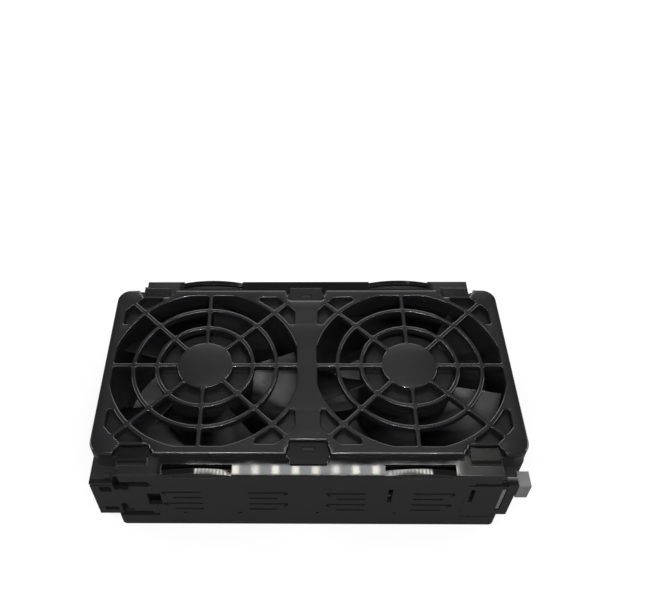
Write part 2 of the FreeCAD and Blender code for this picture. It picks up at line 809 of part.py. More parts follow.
def make_connector():
    body = new_body("connector_housing")
    sketch = new_sketch(body, offset="plug_bottom")
    rectangle(sketch, ("plug_inside", "plug_step"), ("-plug_relief", "-plug_rear"))
    pad(body, sketch, "plug_top - plug_bottom")
    sketch = new_sketch(body, offset="nose_low")
    rectangle(sketch, ("plug_step", "plug_face"), ("-plug_front", "-plug_rear"))
    pad(body, sketch, "nose_high - nose_low")
    sketch = new_sketch(body, "YZ_Plane", "plug_face")
    rectangle(sketch, ("-plug_front + nose_wall", "-plug_rear - nose_wall"),
              ("nose_low + nose_wall", "nose_high - nose_wall"))
    pocket(body, sketch, "socket_depth")
    sketch = new_sketch(body, "XZ_Plane", "plug_front")
    for step in ("2", "4.8", "7.6"):
        rectangle(sketch, ("plug_face - 3.2", "plug_face - 0.8"),
                  (f"nose_low + {step}", f"nose_low + {step} + slit_width"))
    pocket(body, sketch, "nose_wall + 0.2")
    sketch = new_sketch(body, "XZ_Plane", "plug_relief - 0.2")
    rectangle(sketch, ("84.35", "85.85"), ("15.7", "34.1"))
    pad(body, sketch, "rib_reach")


def make_contacts():
    """Eight contact blades in the plug's socket on one carrier strip."""
    body = new_body("connector_contacts")
    sketch = new_sketch(body, "YZ_Plane", "plug_face - socket_depth")
    rectangle(sketch, ("-plug_front + nose_wall", "-plug_rear - nose_wall"),
              ("nose_low + nose_wall", "nose_high - nose_wall"))
    pad(body, sketch, "contact_plate")
    sketch = new_sketch(body, "YZ_Plane", "plug_face - socket_depth + contact_plate")
    for y in ("-plug_front + 2.2", "-plug_rear - 2.9"):
        for step in ("2.1", "3.9", "5.7", "7.5"):
            rectangle(sketch, (y, y + " + contact_size"),
                      (f"nose_low + {step}", f"nose_low + {step} + contact_size"))
    pad(body, sketch, "socket_depth - 2*contact_plate")


def make_frame(side, axis):
    body = new_body("fan_frame_" + side)
    half = size("fan_size") / 2
    for offset in ("fan_base", "fan_base + fan_depth - flange"):
        sketch = new_sketch(body, offset=offset)
        rounded_box(sketch, half, half, size("fan_corner"))
        if offset == "fan_base":
            pad(body, sketch, "flange")
            sketch = new_sketch(body, offset="fan_base")
            circle(sketch, "duct_outer")
            pad(body, sketch, "fan_depth")
        else:
            pad(body, sketch, "flange")
    sketch = new_sketch(body, offset="fan_base")
    circle(sketch, "duct_inner")
    for x in ("-screw_spacing/2", "screw_spacing/2"):
        for y in ("-screw_spacing/2", "screw_spacing/2"):
            circle(sketch, "screw_radius", x, y)
    pocket(body, sketch)
    sketch = new_sketch(body, offset="fan_base")
    edge = size("strut_width") / 2
    bow = size("strut_bow")
    loop(sketch, [(21.5, -edge), (45.0, -edge, 33.0, bow - edge), (45.0, edge), (21.5, edge, 33.0, bow + edge)])
    strut = body.newObject("PartDesign::Pad", body.Label + "_strut")
    strut.Profile = sketch
    strut.AllowMultiFace = True
    bind(strut, "Length", "strut_depth")
    doc.recompute()
    polar(body, strut, "strut_count")
    sketch = new_sketch(body, offset="fan_base")
    circle(sketch, "motor_base")
    pad(body, sketch, "motor_base_thick")
    sketch = new_sketch(body, offset="fan_base")
    for turn in (90, 210, 330):
        x, y = at_angle(12.0, turn)
        circle(sketch, "motor_post", f"{x:.3f}", f"{y:.3f}")
    pad(body, sketch, "board_bottom - fan_base")
    sketch = new_sketch(body, offset="fan_base + motor_base_thick")
    circle(sketch, "tube_outer")
    pocket(body, sketch, "fan_base + motor_base_thick - tube_bottom")
    put_on_axis(body, axis)


def hub_blank(body):
    """The solid hub cap with its rounded top edge."""
    radius, top = size("hub_radius"), size("hub_top")
    corner = size("hub_round")
    turn = corner * (1 - math.sqrt(0.5))
    sketch = new_sketch(body, "XZ_Plane")
    loop(sketch, [(0, size("hub_bottom")), (radius, size("hub_bottom")), (radius, top - corner),
                  (radius - corner, top, radius - turn, top - turn), (0, top)])
    turned(body, "Revolution", sketch)


def blade_section(body, plane, lead, trail):
    """The blade's section on a plane across the radius, bowed between its leading and trailing edges."""
    x = size(plane)
    top = (x * math.tan(math.radians(lead)), size("blade_top"))
    low = (-x * math.tan(math.radians(trail)), size("blade_bottom"))
    length = math.hypot(top[0] - low[0], top[1] - low[1])
    way = ((top[1] - low[1]) / length, -(top[0] - low[0]) / length)
    edge, thick, bow = size("blade_edge") / 2, size("blade_thick") / 2, size("blade_camber")
    middle = ((top[0] + low[0]) / 2, (top[1] + low[1]) / 2)

    def shifted(point, distance):
        return point[0] + way[0] * distance, point[1] + way[1] * distance

    sketch = new_sketch(body, "YZ_Plane", plane)
    loop(sketch, [shifted(low, edge), shifted(top, edge) + shifted(middle, thick - bow),
                  shifted(top, -edge), shifted(low, -edge) + shifted(middle, -thick - bow)])
    return sketch


def make_impeller(side, axis, turn):
    """A hub with five swept blades; the blades' leading edges are on top and turn anticlockwise."""
    body = new_body("impeller_" + side)
    hub_blank(body)
    sections = [blade_section(body, "blade_root_plane", 21, 25), blade_section(body, "blade_mid_plane", 24, 26),
                blade_section(body, "blade_tip_plane", 26, 26)]
    blade = body.newObject("PartDesign::AdditiveLoft", body.Label + "_blade")
    blade.Profile = sections[0]
    blade.Sections = sections[1:]
    blade.Ruled = False
    doc.recompute()
    polar(body, blade, "blade_count")
    sketch = new_sketch(body, "XZ_Plane")
    tip, far = size("blade_tip"), 60.0
    loop(sketch, [(tip, 5.0), (far, 5.0), (far, 55.0), (tip, 55.0)])
    turned(body, "Groove", sketch)
    sketch = new_sketch(body, "XZ_Plane")
    cavity, roof, boss = size("hub_cavity"), size("cavity_top"), size("boss_radius")
    bottom, shaft = size("hub_bottom") - 3, size("shaft_radius")
    loop(sketch, [(0, bottom), (cavity, bottom), (cavity, roof), (boss, roof), (boss, size("boss_bottom")),
                  (shaft, size("boss_bottom")), (shaft, size("shaft_top")), (0, size("shaft_top"))])
    turned(body, "Groove", sketch)
    put_on_axis(body, axis, turn)


def make_yoke(side, axis):
    body = new_body("rotor_yoke_" + side)
    outer, inner, boss = size("hub_cavity"), size("yoke_inner"), size("boss_radius")
    top, bottom = size("cavity_top"), size("yoke_bottom")
    roof = top - size("yoke_roof")
    sketch = new_sketch(body, "XZ_Plane")
    loop(sketch, [(inner, bottom), (outer, bottom), (outer, top), (boss, top), (boss, roof), (inner, roof)])
    turned(body, "Revolution", sketch)
    put_on_axis(body, axis)


def make_shaft(side, axis):
    label = "shaft_" + side
    shaft = doc.addObject("Part::Cylinder", label)
    shaft.Label = label
    bind(shaft, "Radius", "shaft_radius")
    bind(shaft, "Height", "shaft_top - shaft_bottom")
    shaft.Placement.Base = Vector(value(axis), 0, size("shaft_bottom"))
    bind(shaft, "Placement.Base.x", axis)
    bind(shaft, "Placement.Base.z", "shaft_bottom")
    parts.append(shaft)


def make_core(side, axis):
    """The laminated core: a ring of six teeth with wide shoes."""
    body = new_body("stator_core_" + side)
    sketch = new_sketch(body, offset="core_bottom")
    circle(sketch, "core_radius")
    circle(sketch, "tube_outer")
    pad(body, sketch, "core_height")
    sketch = new_sketch(body, offset="core_bottom")
    inner, outer = size("slot_inner"), size("slot_outer")
    half = size("tooth_width") / 2
    near = 30 - math.degrees(math.asin(half / inner))
    far = 30 - math.degrees(math.asin(half / outer))
    mouth = math.degrees(math.asin(size("slot_mouth") / 2 / outer))
    rim = size("core_radius") + 1
    for step in range(int(size("tooth_count"))):
        middle = 30 + 60 * step
        brink = math.degrees(math.asin(size("slot_mouth") / 2 / rim))
        loop(sketch, [at_angle(inner, middle - near) + at_angle(inner, middle), at_angle(outer, middle - far),
                      at_angle(outer, middle - mouth) + at_angle(outer, middle - (far + mouth) / 2),
                      at_angle(rim, middle - brink), at_angle(rim, middle + brink), at_angle(outer, middle + mouth),
                      at_angle(outer, middle + far) + at_angle(outer, middle + (far + mouth) / 2),
                      at_angle(inner, middle + near)])
    pocket(body, sketch)
    put_on_axis(body, axis)


def make_coils(side, axis):
    """Six coils on one end plate."""
    body = new_body("stator_coils_" + side)
    sketch = new_sketch(body, offset="core_bottom - coil_build - coil_plate")
    circle(sketch, "coil_start + coil_length")
    circle(sketch, "coil_start")
    pad(body, sketch, "coil_plate")
    sketch = new_sketch(body, "YZ_Plane", "coil_start")
    rectangle(sketch, ("-tooth_width/2 - coil_build", "tooth_width/2 + coil_build"),
              ("core_bottom - coil_build", "core_bottom + core_height + coil_build"))
    rectangle(sketch, ("-tooth_width/2", "tooth_width/2"), ("core_bottom", "core_bottom + core_height"))
    coil = pad(body, sketch, "coil_length")
    polar(body, coil, "tooth_count")
    put_on_axis(body, axis)


def make_board(side, axis):
    body = new_body("motor_board_" + side)
    sketch = new_sketch(body, offset="board_bottom")
    circle(sketch, "board_radius")
    circle(sketch, "tube_outer")
    pad(body, sketch, "board_thick")
    put_on_axis(body, axis)


def make_lead(side, axis):
    """The cable of one fan: out of the frame, round a bend and along the front channel to the plug."""
    label = "fan_lead_" + side
    height = f"lead_{side}_height"
    start = axis + " - lead_offset"
    pieces = []
    for name in ("stub", "run"):
        pieces.append(doc.addObject("Part::Cylinder", f"{label}_{name}"))
        bind(pieces[-1], "Radius", "lead_radius")
    stub, run = pieces
    bend = doc.addObject("Part::Torus", f"{label}_bend")
    bind(bend, "Radius1", "lead_bend")
    bind(bend, "Radius2", "lead_radius")
    bend.Angle3 = 90
    bind(stub, "Height", "lead_line - lead_bend - lead_start")
    bind(run, "Height", f"plug_inside - lead_bend + lead_offset {'+' if side == 'left' else '-'} fan_pitch/2")
    places = ((stub, start, "-lead_start", Rotation(Vector(1, 0, 0), 90)),
              (bend, start + " + lead_bend", "-lead_line + lead_bend", Rotation(Vector(0, 0, 1), 180)),
              (run, start + " + lead_bend", "-lead_line", Rotation(Vector(0, 1, 0), 90)))
    for piece, x, y, turn in places:
        piece.Placement = Placement(Vector(value(x), value(y), value(height)), turn)
        bind(piece, "Placement.Base.x", x)
        bind(piece, "Placement.Base.y", y)
        bind(piece, "Placement.Base.z", height)
    lead = doc.addObject("Part::MultiFuse", label)
    lead.Shapes = [stub, bend, run]
    lead.Label = label
    parts.append(lead)


def make_fan(side, axis, turn):
    make_frame(side, axis)
    make_impeller(side, axis, turn)
    make_yoke(side, axis)
    make_shaft(side, axis)
    make_core(side, axis)
    make_coils(side, axis)
    make_board(side, axis)
    make_lead(side, axis)
    ring_piece("magnet_ring_" + side, axis, "yoke_inner", "magnet_inner", "magnet_bottom", "magnet_height")
    ring_piece("bearing_tube_" + side, axis, "tube_outer", "tube_inner", "tube_bottom", "tube_top - tube_bottom")
    ring_piece("bearing_top_" + side, axis, "tube_inner", "bearing_bore", "upper_bearing", "bearing_width")
    ring_piece("bearing_bottom_" + side, axis, "tube_inner", "bearing_bore", "lower_bearing", "bearing_width")
    ring_piece("preload_washer_" + side, axis, "washer_outer", "washer_inner", "upper_bearing + bearing_width",
               "washer_height")
    ring_piece("shaft_clip_" + side, axis, "clip_radius", "shaft_radius", "clip_bottom", "clip_thick")
    ring_piece("isolation_ring_top_" + side, axis, "gasket_outer", "gasket_inner", "fan_base + fan_depth",
               "gasket_height")
    ring_piece("isolation_ring_bottom_" + side, axis, "gasket_outer", "gasket_inner", "shelf_level",
               "ring_height")


def export_parts():
    """Checks every object and writes one STEP file per sub-part."""
    doc.recompute()
    for item in doc.Objects:
        if {"Invalid", "Error"} & set(item.State):
            raise RuntimeError(f"{item.Name}: {item.State}")
    os.makedirs("parts", exist_ok=True)
    for part in parts:
        shape = part.Shape
        if shape.isNull() or not shape.isValid() or len(shape.Solids) != 1:
            raise RuntimeError(f"{part.Label} is no single valid solid")
        shape.exportStep(f"parts/{part.Label}.step")


make_cover()
make_housing()
make_connector()
make_contacts()
for fan_side, fan_axis, rest_turn in (("left", "-fan_pitch/2", -8.0), ("right", "fan_pitch/2", 32.0)):
    make_fan(fan_side, fan_axis, rest_turn)
for arm_side, arm_way in (("front", -1), ("rear", 1)):
    make_arm(f"latch_arm_{arm_side}_left", -1, arm_way)
    make_arm(f"latch_arm_{arm_side}_right", 1, arm_way)
export_parts()
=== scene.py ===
"""Looks of a hot-swap fan module: moulded black housing, finger guard, impellers, latch arms and plug."""
import math

import bmesh
import bpy
from bpy.props import FloatProperty, FloatVectorProperty, IntProperty, PointerProperty
from mathutils import Matrix, Vector
from mathutils.geometry import delaunay_2d_cdt


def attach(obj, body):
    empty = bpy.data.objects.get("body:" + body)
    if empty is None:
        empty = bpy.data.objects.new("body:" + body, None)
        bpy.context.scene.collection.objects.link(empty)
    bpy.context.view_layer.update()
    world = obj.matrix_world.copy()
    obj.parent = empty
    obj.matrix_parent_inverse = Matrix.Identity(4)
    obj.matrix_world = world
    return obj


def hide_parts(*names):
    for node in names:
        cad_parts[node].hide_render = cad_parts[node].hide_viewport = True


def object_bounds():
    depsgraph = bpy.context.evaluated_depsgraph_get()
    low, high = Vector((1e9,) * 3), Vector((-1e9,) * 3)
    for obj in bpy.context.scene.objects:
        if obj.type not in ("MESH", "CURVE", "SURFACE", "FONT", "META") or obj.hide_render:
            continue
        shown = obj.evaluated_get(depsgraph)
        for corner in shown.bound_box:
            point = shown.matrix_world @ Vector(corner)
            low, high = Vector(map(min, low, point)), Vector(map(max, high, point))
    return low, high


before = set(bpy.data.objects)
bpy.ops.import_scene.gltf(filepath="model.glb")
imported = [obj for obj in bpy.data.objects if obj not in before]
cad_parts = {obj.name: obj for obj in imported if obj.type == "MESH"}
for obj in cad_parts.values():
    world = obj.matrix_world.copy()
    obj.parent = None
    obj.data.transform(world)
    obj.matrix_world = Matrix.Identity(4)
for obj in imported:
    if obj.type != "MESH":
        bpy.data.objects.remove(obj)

bl_info = {
    "name": "Fan module looks",
    "version": (1, 0, 0),
    "blender": (4, 5, 0),
    "location": "View3D > Sidebar > Fan module",
    "description": "Finishes the pieces of a server fan module",
    "category": "Object",
}

CAD_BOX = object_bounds()
SIDES = ("left", "right")
ARMS = tuple(f"latch_arm_{end}_{side}" for end in ("front", "rear") for side in SIDES)

# Finger guard: its plate lies between two heights, and its openings are read from the frame at a third.
GUARD_BOTTOM, GUARD_SECTION, GUARD_TOP = 0.0473, 0.049, 0.0505
# Its recesses along each long side: middle, half width, and the distance from the row's middle where they begin.
RECESSES = ((-0.0753, 0.0063, 0.0426), (0.0, 0.008, 0.0404), (0.0753, 0.0063, 0.0426))
RECESS_END, RECESS_LIP, RECESS_FLOOR = 0.0464, 0.0006, 0.0008
# The raised catch in each middle recess.
CATCH_HALF, CATCH_SPAN, CATCH_HEIGHT = 0.0025, (0.0428, 0.0444), 0.0017
ROUND_STEPS = 4
SHARP_ANGLE = math.radians(40.0)

# Tolerances of the outlines, in metres, and the flattest corner that is kept.
WELD, SHORTEST, FLATTEST = 2e-6, 1e-6, 1e-4
CROSSING = 1e-9
SHARPEST_MITRE = 0.5

# Where the housing's finish changes: distances from the middle and heights, from the first trace to the full effect.
LEDGE_HEIGHT, LEDGE_SIDE, LEDGE_END = (0.0455, 0.0457), (0.0462, 0.0466), (0.063, 0.066)
HOOK_HEIGHT, HOOK_SIDE, MIDDLE_HOOK_END = (0.0474, 0.0476), (0.0499, 0.0501), (0.0095, 0.01)
BLOCK_START = (0.0632, 0.0645)
# The slots lie inside the wall's skin, between two distances and two heights; there the housing is painted
# near-black as painted shade.
SLOT_SIDE, SLOT_HEIGHT = (0.0529, 0.05495), (0.008, 0.042)
UPPER_EDGES = 0.0435
# Near-black, painted into the slots as painted shade, and most of the way onto the glossy hooks and ledge top.
SLOT_SHADE_AND_GLOSS_BLACK = (0.002, 0.002, 0.002)

# An edge, by the cosine of how far a surface has turned: from level to edge, and from upright to edge.
LEVEL_TO_EDGE, UPRIGHT_TO_EDGE = (0.999, 0.97), (0.1, 0.3)
EDGE_RADIUS, EDGE_SAMPLES, EDGE_ROUGHNESS, EDGE_COAT = 0.0003, 4, 0.1, 0.72
SMOOTH_GRAIN, COARSE_GRAIN = 0.000012, 0.00003
# The colour sockets of a Mix node, by place.
MIX_COLOURS, MIXED_COLOUR = (6, 7), 2

# Floor: half its width, its gap below the object, its grey, and the brightness near the object that fades to white.
FLOOR_HALF, FLOOR_GAP, FLOOR_GREY = 3.0, 0.0002, 0.25
NEAR_LEVEL, NEAR_SPAN = 0.79, (0.06, 0.24)
# It stays dark below the two ducts.
DUCT_PLACE, DUCT_RADIUS = (0.0475, 0.0, 0.0), 0.0455
ROOM_LEVEL = 0.17

WHITE, COLD, WARM = (1.0, 1.0, 1.0), (0.93, 0.96, 1.0), (1.0, 0.91, 0.76)
# Large lamps: name, place, width, height and power in watts.
PANELS = (
    ("rear_panel", (0.02, 0.78, 0.62), 0.6, 0.26, 0.9),
    ("top_panel", (0.0, -0.28, 0.6), 0.46, 0.07, 1.2),
    ("left_panel", (-0.66, 0.05, 0.26), 0.45, 0.25, 1.1),
    ("right_panel", (0.66, 0.05, 0.26), 0.45, 0.25, 1.1),
    ("back_panel", (0.0, 0.68, 0.2), 0.6, 0.2, 1.2),
)
PANEL_TARGET = (0.0, 0.0, 0.03)
# The strips shine on the front ledge, at this Y and Z.
LEDGE_TARGET = (-0.05, 0.047)
# Front strip: number of lamps, pitch, middle, and size and power of each lamp.
FRONT_STRIP = (13, 0.022, (0.0, -0.36, 0.38), (0.003, 0.003), 0.075)
# Rear strip: place, height and power of its bar, then middle, size, power and colour of its lamps.
REAR_BAR = ((0.0275, 0.09, 0.311), 0.008, 0.057)
REAR_LAMPS = ((0.0275, 0.089, 0.309), (0.0055, 0.0065), 0.0024, WARM)

CAMERA_PLACE = (-0.00608, -0.20882, 0.3363)
YAW, PITCH, ROLL = (math.radians(angle) for angle in (-1.4018, 48.9603, -1.1142))
LENS, SENSOR_WIDTH, SHIFT_X, CLIP_START = 41.974, 36.0, 0.0666, 0.01


class FanModuleSizes(bpy.types.PropertyGroup):
    """Sizes that the looks add to the frame."""
    rim_edge: FloatProperty(name="Rim edge", description="Rounding of the finger guard's rim", default=0.0011,
                            min=0.0, unit="LENGTH")
    rib_edge: FloatProperty(name="Rib edge", description="Rounding of the finger guard's ribs", default=0.00055,
                            min=0.0, unit="LENGTH")
    lamp_pitch: FloatProperty(name="Lamp pitch", description="Distance between the lamps in the rear strip",
                              default=0.0162, min=0.005, unit="LENGTH")
    lamp_count: IntProperty(name="Lamps", description="Number of lamps in the rear strip", default=15, min=1, max=40)


class FanModuleColours(bpy.types.PropertyGroup):
    """Base colours of the finishes."""
    cover: FloatVectorProperty(name="Cover", description="Satin black of the finger guard", subtype="COLOR",
                               default=(0.0085, 0.0085, 0.0098), min=0.0, max=1.0)
    housing: FloatVectorProperty(name="Housing", description="Matte black of the housing", subtype="COLOR",
                                 default=(0.018, 0.018, 0.0182), min=0.0, max=1.0)
    fan: FloatVectorProperty(name="Fan", description="Black of the fan frames and blades", subtype="COLOR",
                             default=(0.009, 0.009, 0.0098), min=0.0, max=1.0)
    plug: FloatVectorProperty(name="Plug", description="Grey of the plug body", subtype="COLOR",
                              default=(0.22, 0.22, 0.22), min=0.0, max=1.0)


class Term:
    """A shader socket that takes part in Python expressions."""

    def __init__(self, nodes, socket):
        self.nodes = nodes
        self.socket = socket

    def _math(self, operation, *items):
        return self.nodes.add("ShaderNodeMath", {"operation": operation}, dict(enumerate(items)))

    def __add__(self, other):
        return self._math("ADD", self, other)

    __radd__ = __add__

    def __mul__(self, other):
        return self._math("MULTIPLY", self, other)

    __rmul__ = __mul__

    def __sub__(self, other):
        return self._math("SUBTRACT", self, other)

    def __rsub__(self, other):
        return self._math("SUBTRACT", other, self)

    def __gt__(self, other):
        return self._math("GREATER_THAN", self, other)

    def __lt__(self, other):
        return self._math("LESS_THAN", self, other)

    def __abs__(self):
        return self._math("ABSOLUTE", self)

    def clamped(self):
        """Kept between 0 and 1."""
        return self._math("MINIMUM", self._math("MAXIMUM", self, 0.0), 1.0)

    def within(self, low, high):
        """1 between low and high, and 0 outside them."""
        return (self > low) * (self < high)

    def ramp(self, low, high, start=0.0):
        """From a start at low straight up to 1 at high, and level past them."""
        return self.nodes.add("ShaderNodeMapRange", {"clamp": True},
                              {"Value": self, "From Min": low, "From Max": high, "To Min": start})


class Nodes:
    """A shader tree that gets its nodes with their settings and values."""

    def __init__(self, tree):
        self.tree = tree

    def feed(self, socket, item):
        """Links a socket to a term, or sets its value."""
        if isinstance(item, Term):
            self.tree.links.new(item.socket, socket)
        else:
            socket.default_value = item

    def node(self, kind, settings=None, values=None):
        """Any node: its settings are set first, then the values or links of its sockets."""
        node = self.tree.nodes.new(kind)
        for name, setting in (settings or {}).items():
            setattr(node, name, setting)
        for name, item in (values or {}).items():
            self.feed(node.inputs[name], item)
        return node

    def add(self, kind, settings=None, values=None, output=0):
        """One output of a new node."""
        return Term(self, self.node(kind, settings, values).outputs[output])

    def parts(self, vector):
        """The three numbers of a vector."""
        return [Term(self, output) for output in self.node("ShaderNodeSeparateXYZ", {}, {0: vector}).outputs]


class Finish(Nodes):
    """A procedural material that is built up from expressions."""

    def __init__(self, name):
        self.material = bpy.data.materials.new(name)
        self.material.use_nodes = True
        super().__init__(self.material.node_tree)
        self.shader = self.tree.nodes["Principled BSDF"]
        self.place = self.add("ShaderNodeTexCoord", output="Object")
        self.x, self.y, self.z = self.parts(self.place)

    def set(self, name, item):
        """Feeds a socket of the surface's shader."""
        self.feed(self.shader.inputs[name], item)

    def noise(self, scale, detail=2.0, rough=0.5, where=None):
        """Cloudy noise of 0 to 1."""
        values = {"Vector": where or self.place, "Scale": scale, "Detail": detail, "Roughness": rough}
        return self.add("ShaderNodeTexNoise", {"noise_dimensions": "3D"}, values)

    def stretched(self, scale):
        """The place, stretched along the frame's axes."""
        return self.add("ShaderNodeVectorMath", {"operation": "MULTIPLY"}, {0: self.place, 1: scale})

    def blend(self, factor, first, second):
        """A colour between two colours."""
        values = {0: factor}
        for place, item in zip(MIX_COLOURS, (first, second)):
            values[place] = item if isinstance(item, Term) else tuple(item) + (1.0,)
        return self.add("ShaderNodeMix", {"data_type": "RGBA"}, values, output=MIXED_COLOUR)

    def polished(self, rough, edge):
        """A roughness that falls to a low value on edges."""
        return (rough * (1.0 - edge) + edge * EDGE_ROUGHNESS).clamped()

    def rounding(self, radius):
        """The normal and how much of an edge each place is: radius 0 is for a mesh with edges that are round."""
        normal = self.add("ShaderNodeNewGeometry", output="Normal")
        if not radius:
            upward = self.parts(normal)[2]
            return normal, upward.ramp(*LEVEL_TO_EDGE) * upward.ramp(*UPRIGHT_TO_EDGE)
        rounded = self.add("ShaderNodeBevel", {"samples": EDGE_SAMPLES}, {"Radius": radius})
        likeness = self.add("ShaderNodeVectorMath", {"operation": "DOT_PRODUCT"}, {0: rounded, 1: normal},
                            output="Value")
        return rounded, likeness.ramp(*LEVEL_TO_EDGE)

    def bump(self, height, distance, normal=None):
        """Raises the surface by a distance where the height is 1."""
        values = {"Height": height, "Distance": distance}
        if normal:
            values["Normal"] = normal
        self.set("Normal", self.add("ShaderNodeBump", {}, values))


def tint(colour, factor):
    """A lighter or darker form of a colour."""
    return tuple(min(1.0, channel * factor) for channel in colour)


class Moulding(Finish):
    """Spark-eroded plastic: a fine grain, cloudy gloss, polished edges and a trace of dust."""

    def __init__(self, name, colour, rough, grain, radius=EDGE_RADIUS):
        super().__init__(name)
        cloud = self.noise(55.0, detail=4.0, rough=0.6).ramp(0.3, 0.75)
        self.fine = self.noise(grain, detail=3.0, rough=0.65)
        self.dust = self.noise(2600.0).ramp(0.66, 0.74)
        self.normal, self.edge = self.rounding(radius)
        clean = self.blend(cloud, tint(colour, 0.88), tint(colour, 1.16))
        self.base = self.blend(self.dust * 0.3, clean, tint(colour, 2.6))
        self.rough = rough - 0.05 + cloud * 0.1 + (self.fine - 0.5) * 0.12
        self.set("Specular IOR Level", 0.35)
        self.set("Coat IOR", 1.65)
        self.set("Coat Roughness", 0.12)

    def plain(self, depth):
        """The material with the same finish all over."""
        self.set("Base Color", self.base)
        self.set("Roughness", self.polished(self.rough, self.edge))
        self.set("Coat Weight", self.edge * EDGE_COAT)
        self.bump((self.fine + self.dust * 0.4) * (1.0 - self.edge), depth, self.normal)
        return self.material


def cover_finish(colours):
    """Satin finger guard with smooth edges on its rim and ribs."""
    return Moulding("satin_black_cover", colours.cover, 0.4, 3800.0, radius=0.0).plain(SMOOTH_GRAIN)


def housing_finish(colours):
    """Matte walls with a glossy ledge on top, coarser corner blocks, and slots painted near-black as painted shade.
    """
    finish = Moulding("matte_black_housing", colours.housing, 0.5, 3200.0, radius=0.00035)
    across, along, top = abs(finish.y), abs(finish.x), finish.z.ramp(*LEDGE_HEIGHT)
    hooks = finish.z.ramp(*HOOK_HEIGHT) * (1.0 - across.ramp(*HOOK_SIDE))
    middle_hook = hooks * (1.0 - along.ramp(*MIDDLE_HOOK_END))
    polish = top * across.ramp(*LEDGE_SIDE) * (1.0 - along.ramp(*LEDGE_END)) * (1.0 - hooks)
    block = top * along.ramp(*BLOCK_START) * (1.0 - hooks)
    painted_slot_shade = across.within(*SLOT_SIDE) * finish.z.within(*SLOT_HEIGHT)
    gloss = finish.edge * (finish.z > UPPER_EDGES) * (1.0 - hooks)
    rough = finish.rough - polish * 0.46 - block * 0.38 + painted_slot_shade * 0.4 - hooks * 0.38 + middle_hook * 0.6
    coarse = finish.noise(1500.0, rough=0.6) * (block * 0.35 + (1.0 - polish) * 0.25)
    fine = finish.fine * (1.0 - polish * 0.96) * (1.0 - finish.edge)
    # The slots get the near-black as painted shade; the hooks and the ledge top are darkened most of the way to it.
    finish.set("Base Color", finish.blend((painted_slot_shade + (hooks + polish) * 0.8).clamped(), finish.base, SLOT_SHADE_AND_GLOSS_BLACK))
    finish.set("Roughness", finish.polished(rough, gloss))
    finish.set("Coat Weight", gloss)
    finish.bump(fine + coarse, COARSE_GRAIN, finish.normal)
    return finish.material


def fan_finish(colours):
    """Smooth black of the fan frames and bearing tubes."""
    return Moulding("smooth_black_fan", colours.fan, 0.34, 4200.0).plain(SMOOTH_GRAIN)


def blade_finish(colours):
    """Blades and hub: satin black with broad flow marks of the moulding."""
    finish = Moulding("satin_black_blade", tint(colours.fan, 1.25), 0.42, 4200.0)
    flow = finish.noise(38.0, detail=1.0, rough=0.4, where=finish.stretched((1.0, 1.0, 0.5)))
    finish.rough += (flow - 0.5) * 0.3
    return finish.plain(SMOOTH_GRAIN)


def plug_finish(colours):
    """Grey plug body with a coarser grain."""
    return Moulding("grey_plug", colours.plug, 0.5, 2600.0).plain(COARSE_GRAIN)


def metal_finish(name, colour, rough, along):
    """Drawn or turned metal with fine lines along one direction."""
    finish = Finish(name)
    lines = finish.noise(1.0, detail=3.0, rough=0.6, where=finish.stretched(along))
    cloud = finish.noise(120.0, detail=3.0, rough=0.6).ramp(0.3, 0.7)
    finish.set("Metallic", 1.0)
    finish.set("Base Color", finish.blend(cloud, tint(colour, 0.85), tint(colour, 1.08)))
    finish.set("Roughness", (rough + (lines - 0.5) * 0.25).clamped())
    finish.bump(lines, 0.000015)
    return finish.material


def wire_finish():
    """Enamelled copper: turns of wire that lie beside each other, painted darker in the grooves between them as
    painted shade.
    """
    finish = Finish("copper_winding")
    turns_and_groove_shade = finish.add("ShaderNodeTexWave", {"wave_type": "BANDS", "bands_direction": "Z"},
                       {"Vector": finish.place, "Scale": 900.0, "Distortion": 0.6, "Detail": 1.0})
    finish.set("Metallic", 1.0)
    # Dark copper in the grooves between the turns is painted shade.
    finish.set("Base Color", finish.blend(turns_and_groove_shade, (0.3, 0.1, 0.04), (0.78, 0.36, 0.17)))
    finish.set("Roughness", 0.28 + (1.0 - turns_and_groove_shade) * 0.2)
    finish.bump(turns_and_groove_shade, 0.00008)
    return finish.material


def board_finish():
    """Green solder mask over copper tracks."""
    finish = Finish("green_board")
    tracks = finish.noise(420.0, detail=0.0, where=finish.stretched((1.0, 0.25, 1.0))).ramp(0.5, 0.53)
    finish.set("Base Color", finish.blend(tracks, (0.012, 0.085, 0.035), (0.03, 0.17, 0.07)))
    finish.set("Roughness", 0.28 + tracks * 0.08)
    finish.bump(tracks, 0.00003)
    return finish.material


def rubber_finish(name, colour, rough):
    """Soft rubber, cable sheath or bonded magnet: matte, with a fine grain and faint clouds."""
    finish = Finish(name)
    grain = finish.noise(2400.0, detail=3.0, rough=0.7)
    cloud = finish.noise(90.0, detail=3.0, rough=0.6).ramp(0.3, 0.7)
    finish.set("Base Color", finish.blend(cloud, tint(colour, 0.8), tint(colour, 1.2)))
    finish.set("Roughness", (rough + (grain - 0.5) * 0.2).clamped())
    finish.bump(grain, 0.00004)
    return finish.material


def dress(piece, material):
    """Gives a piece one material only."""
    piece.data.materials.clear()
    piece.data.materials.append(material)


def carry(node, material):
    """Gives a node of the frame its finish."""
    dress(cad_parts[node], material)


